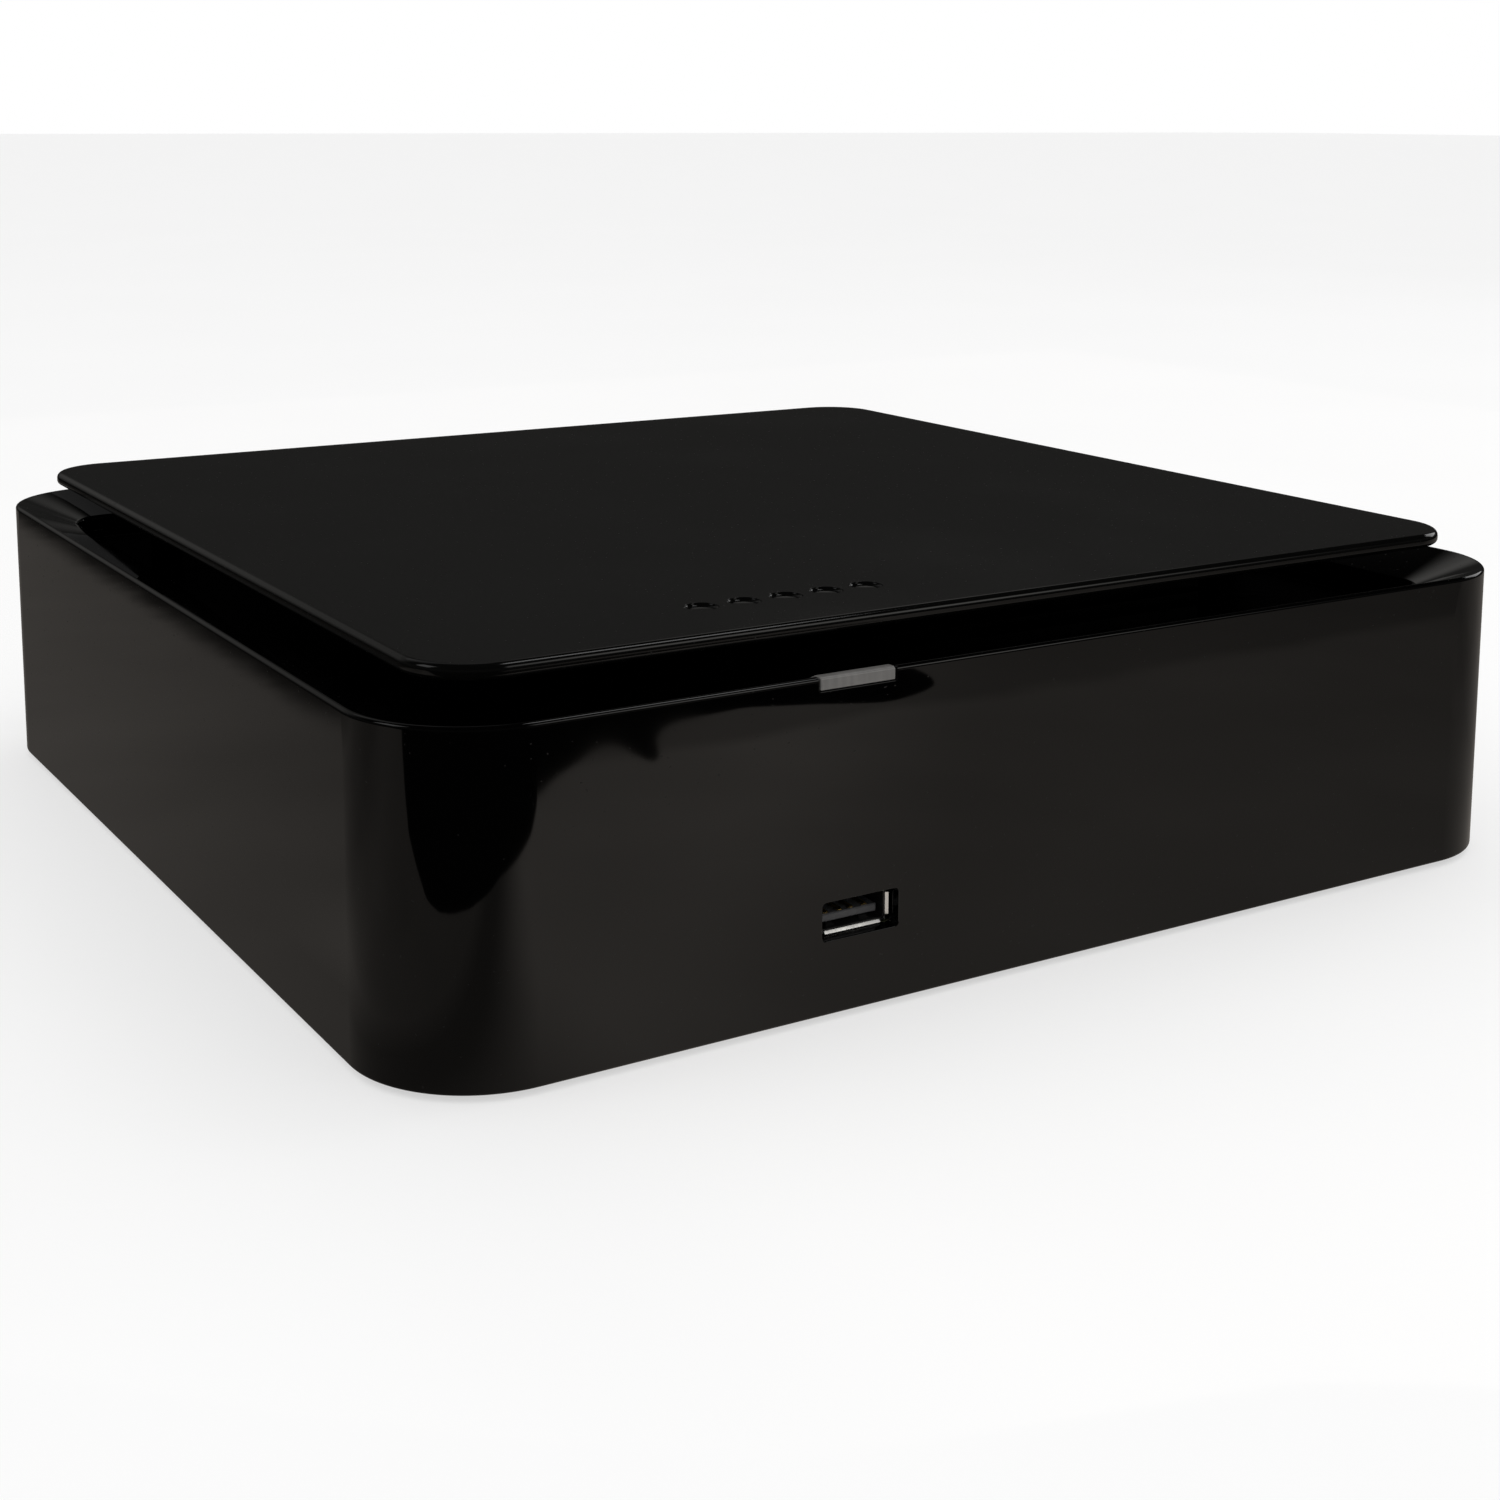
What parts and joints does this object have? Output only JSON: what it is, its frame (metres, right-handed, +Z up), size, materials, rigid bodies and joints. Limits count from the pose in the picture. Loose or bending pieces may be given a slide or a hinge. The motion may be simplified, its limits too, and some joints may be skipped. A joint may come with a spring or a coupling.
{
  "type": "mini pc",
  "caption": "Square gloss black mini pc: a plate floats above a dished, ventilated top, with a data port and a lamp at the front, a connector panel at the rear and a blower inside.",
  "frame": {"origin": "under the middle of the casing, on the surface that its feet stand on", "axes": "+X to the right seen from the front, +Y to the rear, +Z up; the front data port faces -Y"},
  "size_m": [0.22, 0.22, 0.0594],
  "materials": {
    "case_black": "high gloss, moulded, faint dust and hairline swirls",
    "plate_black": "smooth gloss with a soft grey sheen, fine dust",
    "base_plastic": "spark-eroded matt, fine grain",
    "panel_plastic": "fine matt grain",
    "lens_plastic": "frosted translucent grey, satin",
    "foot_rubber": "soft matt, slightly dusty",
    "dark_screw": "black zinc, satin, worn recess edges",
    "steel_screw": "zinc plated, satin",
    "insert_brass": "turned, light tarnish",
    "circuit_board": "green solder mask over copper traces, satin",
    "port_steel": "nickel plated sheet, rolling marks along its length",
    "port_plastic": "glass-filled nylon, satin",
    "blue_plastic": "satin moulded",
    "contact_gold": "gold flash over nickel, smooth",
    "ribbon_film": "ribbed film",
    "led_lens": "clear epoxy over a phosphor",
    "chip_black": "moulded epoxy, fine matt",
    "chip_lid": "dark laminate with a polished die",
    "inductor_grey": "pressed powder, matt",
    "can_aluminium": "drawn can, satin",
    "cell_steel": "nickel plated, fine circular grain",
    "button_black": "polished cap, light finger marks",
    "reset_red": "satin moulded",
    "bracket_steel": "galvanised sheet, soft spangle",
    "drive_case": "bead blasted, satin",
    "cable_black": "soft vinyl, low sheen",
    "copper": "milled copper, light oxide",
    "fin_aluminium": "stamped sheet, satin",
    "fan_black": "glass-filled, fine matt",
    "sinter_bronze": "sintered, oily, slightly porous",
    "shaft_steel": "ground and polished"
  },
  "bodies": {
    "casing": {"outer_shell": "case_black", "top_plate": "plate_black", "base_cover": "base_plastic", "rear_panel": "panel_plastic", "light_pipe": "lens_plastic", "foot_front_left": "foot_rubber", "foot_front_right": "foot_rubber", "foot_rear_left": "foot_rubber", "foot_rear_right": "foot_rubber", "base_screws": "dark_screw", "mount_inserts": "insert_brass", "front_board": "circuit_board", "front_board_screws": "steel_screw", "front_usb_shell": "port_steel", "front_usb_tongue": "port_plastic", "front_usb_contacts": "contact_gold", "front_ribbon": "ribbon_film", "lamp_board": "circuit_board", "lamp_led": "led_lens", "lamp_screws": "steel_screw", "mainboard": "circuit_board", "board_screws": "steel_screw", "processor": "chip_lid", "board_chips": "chip_black", "board_inductors": "inductor_grey", "board_capacitors": "can_aluminium", "memory_socket": "port_plastic", "memory_module": "circuit_board", "ssd_socket": "port_plastic", "ssd_module": "circuit_board", "ssd_screw": "steel_screw", "cell_holder": "port_plastic", "coin_cell": "cell_steel", "power_jack": "port_plastic", "power_jack_pin": "steel_screw", "lan_port": "port_steel", "lan_contacts": "contact_gold", "audio_jack": "port_plastic", "rear_usb_shells": "port_steel", "rear_usb_tongues": "blue_plastic", "rear_usb_contacts": "contact_gold", "hdmi_shell": "port_steel", "hdmi_tongue": "port_plastic", "power_switch": "port_plastic", "reset_switch": "port_plastic", "drive_bracket": "bracket_steel", "solid_drive": "drive_case", "drive_screws": "steel_screw", "drive_cable": "cable_black", "cold_plate": "copper", "fin_stack": "fin_aluminium", "cooler_screws": "steel_screw", "blower_case": "fan_black", "blower_cover": "fan_black", "blower_bearing": "sinter_bronze", "blower_screws": "steel_screw"},
    "impeller": {"blower_impeller": "fan_black", "blower_shaft": "shaft_steel"},
    "power_button": {"power_button": "button_black"},
    "reset_plunger": {"reset_plunger": "reset_red"}
  },
  "joints": [
    {"name": "impeller_spin", "type": "hinge", "parent": "casing", "child": "impeller", "pos_m": [0.035, -0.004, 0.0291], "axis": [0, 0, 1], "continuous": true},
    {"name": "power_button_press", "type": "slide", "parent": "casing", "child": "power_button", "axis": [0, -1, 0], "range_m": [0, 0.0008], "stiffness_N_per_m": 800},
    {"name": "reset_plunger_press", "type": "slide", "parent": "casing", "child": "reset_plunger", "axis": [0, -1, 0], "range_m": [0, 0.0005], "stiffness_N_per_m": 600}
  ]
}
